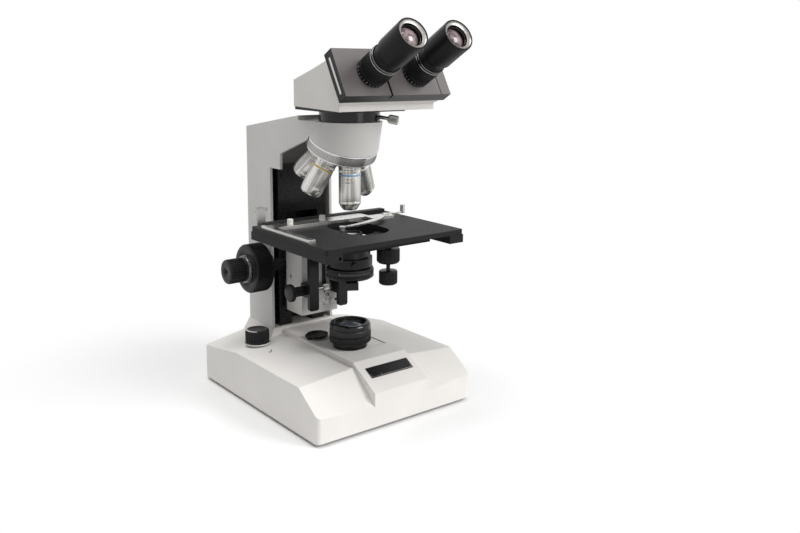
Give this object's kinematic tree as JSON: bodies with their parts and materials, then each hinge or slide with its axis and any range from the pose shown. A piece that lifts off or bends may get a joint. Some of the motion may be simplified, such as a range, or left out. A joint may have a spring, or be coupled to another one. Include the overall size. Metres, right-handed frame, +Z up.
{
  "type": "binocular microscope",
  "caption": "Binocular biological microscope with a five-place nosepiece, mechanical stage, rack condenser and lamp base.",
  "frame": {"origin": "on the optical axis, at the level of the table under the feet", "axes": "+X to the user's right, +Y away from the user, +Z up along the optical axis"},
  "size_m": [0.188, 0.2896, 0.3915],
  "materials": {
    "grey_paint": "satin light grey enamel",
    "head_grey": "semi-gloss grey enamel",
    "black_paint": "satin black",
    "black_plastic": "fine matt black",
    "black_anodised": "black anodised",
    "stage_black": "matt black stage coat",
    "chrome": "bright chrome",
    "steel": "brushed",
    "rubber": "matt",
    "lens": "coated optical glass",
    "board": "green solder mask",
    "aluminium": "milled",
    "zinc_plate": "plated sheet"
  },
  "bodies": {
    "stand": {"base_casting": "grey_paint", "bottom_plate": "zinc_plate", "base_screws": "steel", "rubber_feet": "rubber", "name_plate": "black_plastic", "collector_housing": "black_anodised", "collector_lens": "lens", "lamp_board": "board", "heat_sink": "aluminium", "dc_inlet": "black_plastic", "arm_casting": "grey_paint", "focus_guide": "black_paint", "focus_bushes": "steel", "right_flange": "black_plastic", "head_seat": "black_paint"},
    "dimmer": {"dimmer_knob": "black_plastic"},
    "filter": {"filter_holder": "black_anodised"},
    "field_diaphragm": {"field_ring": "black_anodised"},
    "coarse_drive": {"coarse_knobs": "black_plastic"},
    "fine_drive": {"fine_knobs": "black_plastic"},
    "tension": {"tension_collar": "black_plastic"},
    "rack": {"rack_slide": "steel"},
    "bracket": {"stage_bracket": "grey_paint", "condenser_rails": "black_anodised", "stage_frame": "stage_black"},
    "stage": {"stage_plate": "stage_black", "stop_bracket": "aluminium"},
    "stop_lock": {"stop_screw": "steel"},
    "y_drive": {"y_drive_knob": "black_plastic"},
    "x_drive": {"x_drive_knob": "black_plastic"},
    "holder": {"carriage": "chrome", "holder_screws": "chrome"},
    "finger": {"slide_finger": "chrome"},
    "condenser": {"condenser_carrier": "black_anodised", "condenser_clamp": "steel", "condenser_body": "black_anodised", "condenser_lens": "lens"},
    "iris": {"iris_lever": "black_anodised"},
    "condenser_drive": {"condenser_knob": "black_plastic"},
    "nosepiece": {"turret": "chrome", "objective_40": "chrome", "objective_100": "chrome", "objective_4": "chrome", "objective_10": "chrome", "turret_plug": "black_plastic"},
    "head_clamp": {"head_clamp_screw": "steel"},
    "head": {"head_plate": "black_paint", "head_body": "head_grey", "head_prism": "lens", "head_frame": "black_paint"},
    "left_tube": {"tube_slide_left": "black_paint"},
    "right_tube": {"tube_slide_right": "black_paint"},
    "left_diopter": {"diopter_left": "black_plastic", "diopter_crown_left": "chrome"},
    "right_diopter": {"diopter_right": "black_plastic", "diopter_crown_right": "chrome"},
    "left_eyepiece": {"eyepiece_left": "black_plastic", "eye_lens_left": "lens"},
    "right_eyepiece": {"eyepiece_right": "black_plastic", "eye_lens_right": "lens"}
  },
  "joints": [
    {"name": "dimmer_turn", "type": "hinge", "parent": "stand", "child": "dimmer", "pos_m": [-0.0655, 0.079, 0.055], "axis": [0, 0, 1], "range_deg": [-270, 0]},
    {"name": "filter_swing", "type": "hinge", "parent": "stand", "child": "filter", "pos_m": [-0.022, 0.044, 0.06], "axis": [0, 0, 1], "range_deg": [0, 90]},
    {"name": "field_diaphragm_turn", "type": "hinge", "parent": "stand", "child": "field_diaphragm", "pos_m": [0, 0, 0.066], "axis": [0, 0, 1], "range_deg": [-60, 60]},
    {"name": "tension_turn", "type": "hinge", "parent": "stand", "child": "tension", "pos_m": [-0.042, 0.1, 0.1294], "axis": [1, 0, 0], "range_deg": [-60, 60]},
    {"name": "coarse_focus", "type": "slide", "parent": "stand", "child": "rack", "axis": [0, 0, 1], "range_m": [-0.016, 0.014]},
    {"name": "coarse_turn", "type": "hinge", "parent": "stand", "child": "coarse_drive", "pos_m": [0, 0.1, 0.1294], "axis": [1, 0, 0], "range_deg": [-155, 136]},
    {"name": "fine_focus", "type": "slide", "parent": "rack", "child": "bracket", "axis": [0, 0, 1], "range_m": [-0.0009, 0.0009]},
    {"name": "fine_turn", "type": "hinge", "parent": "stand", "child": "fine_drive", "pos_m": [0, 0.1, 0.1294], "axis": [1, 0, 0], "range_deg": [-1625, 1625]},
    {"name": "stage_y", "type": "slide", "parent": "bracket", "child": "stage", "axis": [0, 1, 0], "range_m": [-0.008, 0.03]},
    {"name": "y_drive_turn", "type": "hinge", "parent": "stage", "child": "y_drive", "pos_m": [0.0614, 0.016, 0.14], "axis": [0, 0, 1], "range_deg": [-80, 290]},
    {"name": "stage_x", "type": "slide", "parent": "stage", "child": "holder", "axis": [1, 0, 0], "range_m": [-0.006, 0.064]},
    {"name": "x_drive_turn", "type": "hinge", "parent": "stage", "child": "x_drive", "pos_m": [0.0614, 0.016, 0.118], "axis": [0, 0, 1], "range_deg": [-60, 615]},
    {"name": "finger_open", "type": "hinge", "parent": "holder", "child": "finger", "pos_m": [0.057, 0.0155, 0.187], "axis": [0, 0, 1], "range_deg": [0, 30], "stiffness_Nm_per_rad": 0.05, "springref_deg": -17.19},
    {"name": "stop_screw_turn", "type": "hinge", "parent": "stage", "child": "stop_lock", "pos_m": [-0.0695, 0.0635, 0.1994], "axis": [1, 0, 0], "range_deg": [-180, 180]},
    {"name": "condenser_height", "type": "slide", "parent": "bracket", "child": "condenser", "axis": [0, 0, 1], "range_m": [-0.022, 0.004]},
    {"name": "condenser_drive_turn", "type": "hinge", "parent": "bracket", "child": "condenser_drive", "pos_m": [-0.03, 0.051, 0.109], "axis": [1, 0, 0], "range_deg": [-320, 60]},
    {"name": "iris_turn", "type": "hinge", "parent": "condenser", "child": "iris", "pos_m": [0, 0, 0.127], "axis": [0, 0, 1], "range_deg": [-40, 40]},
    {"name": "nosepiece_turn", "type": "hinge", "parent": "stand", "child": "nosepiece", "pos_m": [0, 0, 0.295], "axis": [0, 0.4147, -0.91], "continuous": true},
    {"name": "head_clamp_turn", "type": "hinge", "parent": "stand", "child": "head_clamp", "pos_m": [0.01782, -0.01782, 0.298], "axis": [0.6964, -0.6964, -0.1736], "range_deg": [-180, 0]},
    {"name": "head_swivel", "type": "hinge", "parent": "stand", "child": "head", "pos_m": [0, 0, 0.3], "axis": [0, 0, 1], "continuous": true},
    {"name": "right_tube_spread", "type": "slide", "parent": "head", "child": "right_tube", "axis": [1, 0, 0], "range_m": [0, 0.0115]},
    {"name": "left_tube_spread", "type": "slide", "parent": "head", "child": "left_tube", "axis": [-1, 0, 0], "range_m": [0, 0.0115]},
    {"name": "left_eyepiece_focus", "type": "slide", "parent": "left_tube", "child": "left_eyepiece", "axis": [0, -0.866, 0.5], "range_m": [-0.002, 0.002]},
    {"name": "right_eyepiece_focus", "type": "slide", "parent": "right_tube", "child": "right_eyepiece", "axis": [0, -0.866, 0.5], "range_m": [-0.002, 0.002]},
    {"name": "left_diopter_turn", "type": "hinge", "parent": "left_tube", "child": "left_diopter", "pos_m": [-0.026, -0.0729, 0.3419], "axis": [0, -0.866, 0.5], "range_deg": [-140, 140]},
    {"name": "right_diopter_turn", "type": "hinge", "parent": "right_tube", "child": "right_diopter", "pos_m": [0.026, -0.0729, 0.3419], "axis": [0, -0.866, 0.5], "range_deg": [-140, 140]}
  ],
  "couplings": [
    {"joint": "coarse_turn", "follows": "coarse_focus", "rad_per_m": 166.67},
    {"joint": "fine_turn", "follows": "fine_focus", "rad_per_m": 31416},
    {"joint": "y_drive_turn", "follows": "stage_y", "rad_per_m": 166.67},
    {"joint": "x_drive_turn", "follows": "stage_x", "rad_per_m": 166.67},
    {"joint": "condenser_drive_turn", "follows": "condenser_height", "rad_per_m": 250},
    {"joint": "left_tube_spread", "follows": "right_tube_spread", "ratio": 1},
    {"joint": "left_diopter_turn", "follows": "left_eyepiece_focus", "rad_per_m": 1200},
    {"joint": "right_diopter_turn", "follows": "right_eyepiece_focus", "rad_per_m": 1200}
  ]
}
